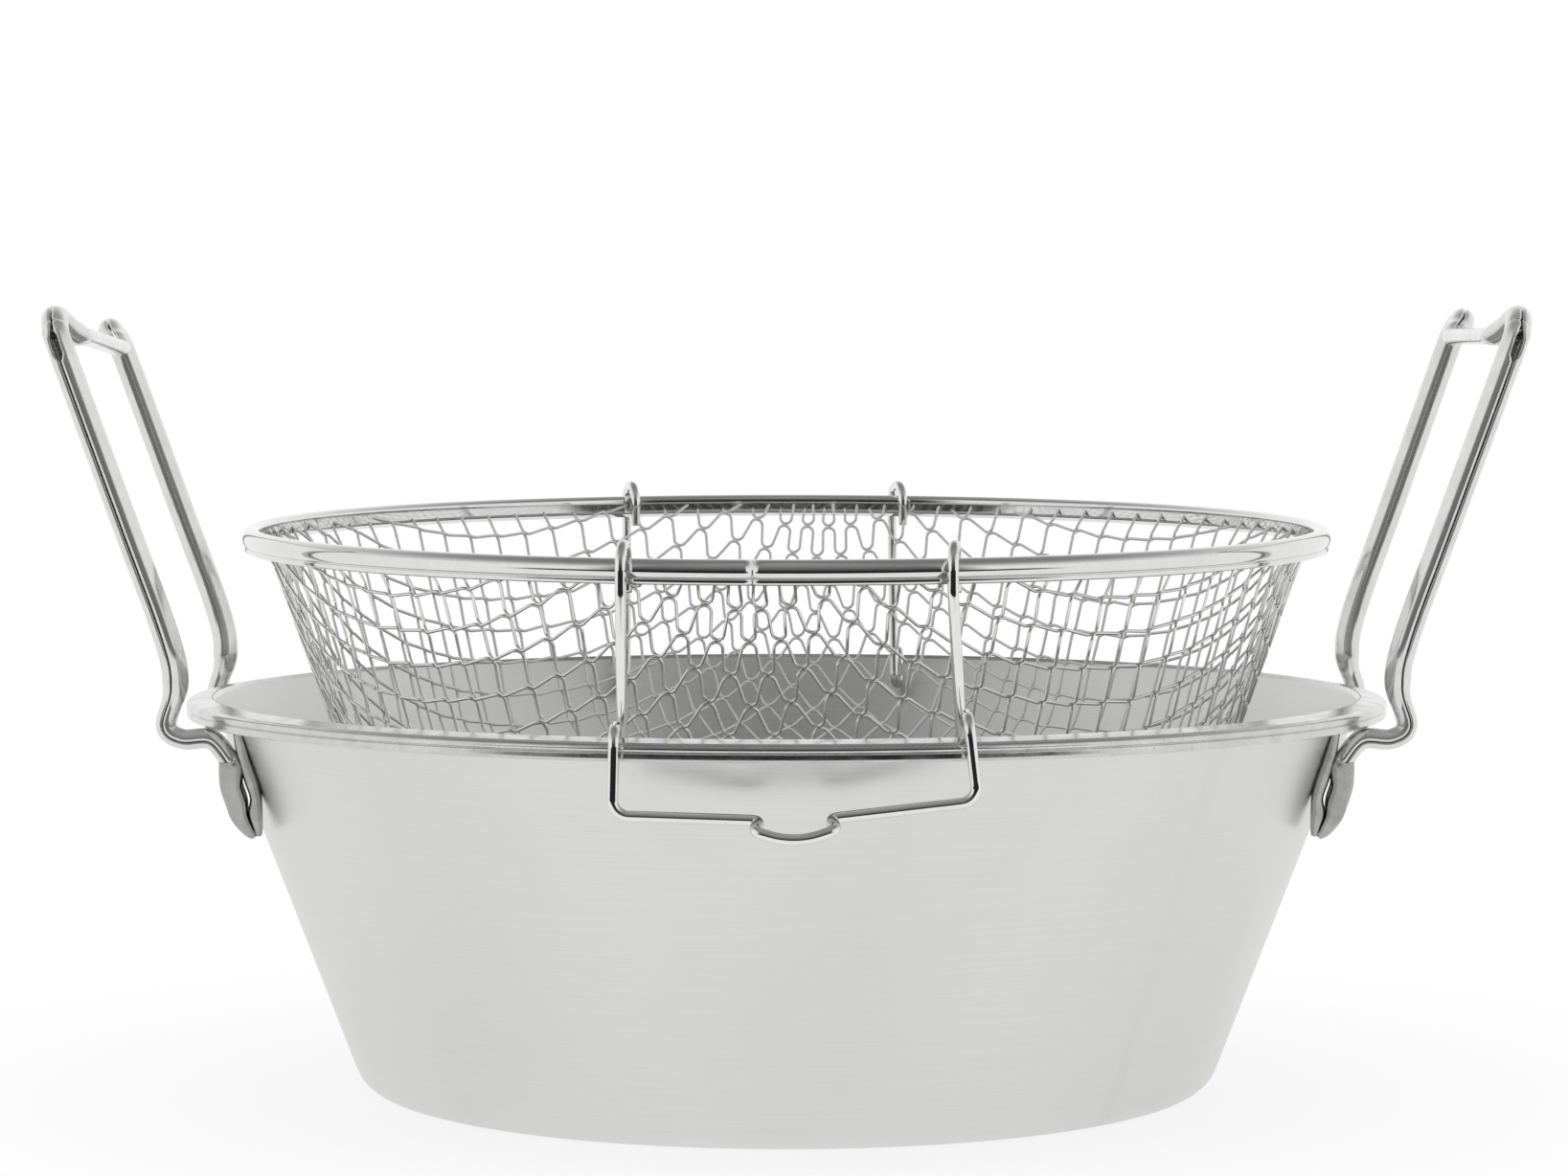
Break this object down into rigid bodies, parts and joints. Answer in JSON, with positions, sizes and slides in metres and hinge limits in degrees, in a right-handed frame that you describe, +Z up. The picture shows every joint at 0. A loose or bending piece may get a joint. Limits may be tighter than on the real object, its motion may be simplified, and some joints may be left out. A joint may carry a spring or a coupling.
{
  "type": "deep fry pot with basket",
  "caption": "Round conical steel pot with a rolled rim and two raised tube handles, and a wire net basket that drains above it, hooked over the rim by two bent wire handles.",
  "frame": {"origin": "middle of the pot's flat bottom, on the surface that it stands on", "axes": "+Z up along the pot's axis, -Y towards the viewer (front), the pot's own handles on -X and +X, the basket's handles on -Y and +Y"},
  "size_m": [0.3476, 0.2942, 0.1894],
  "materials": {
    "pot_sheet": "brushed in fine rings",
    "rolled_strip": "satin",
    "ring_sheet": "polished steel",
    "net_wire": "drawn steel wire",
    "handle_wire": "polished steel wire"
  },
  "bodies": {
    "pot": {"pot_body": "pot_sheet", "pot_handle_left": "rolled_strip", "pot_handle_right": "rolled_strip", "socket_left_front": "rolled_strip", "socket_left_rear": "rolled_strip", "socket_right_front": "rolled_strip", "socket_right_rear": "rolled_strip"},
    "basket": {"basket_ring": "ring_sheet", "basket_net": "net_wire"},
    "front_handle": {"basket_handle_front": "handle_wire"},
    "rear_handle": {"basket_handle_rear": "handle_wire"}
  },
  "joints": [
    {"name": "basket_lift", "type": "slide", "parent": "pot", "child": "basket", "axis": [0, 0, 1], "range_m": [0, 0.25]},
    {"name": "front_handle_swing", "type": "hinge", "parent": "basket", "child": "front_handle", "pos_m": [0, -0.12467, 0.13188], "axis": [1, 0, 0], "range_deg": [-157.6, 0]},
    {"name": "rear_handle_swing", "type": "hinge", "parent": "basket", "child": "rear_handle", "pos_m": [-0.00696, 0.12448, 0.13732], "axis": [0.9984, 0.0558, 0], "range_deg": [0, 157.6]}
  ],
  "couplings": [
    {"joint": "front_handle_swing", "follows": "basket_lift", "rad_per_m": -11},
    {"joint": "rear_handle_swing", "follows": "basket_lift", "rad_per_m": 11}
  ]
}
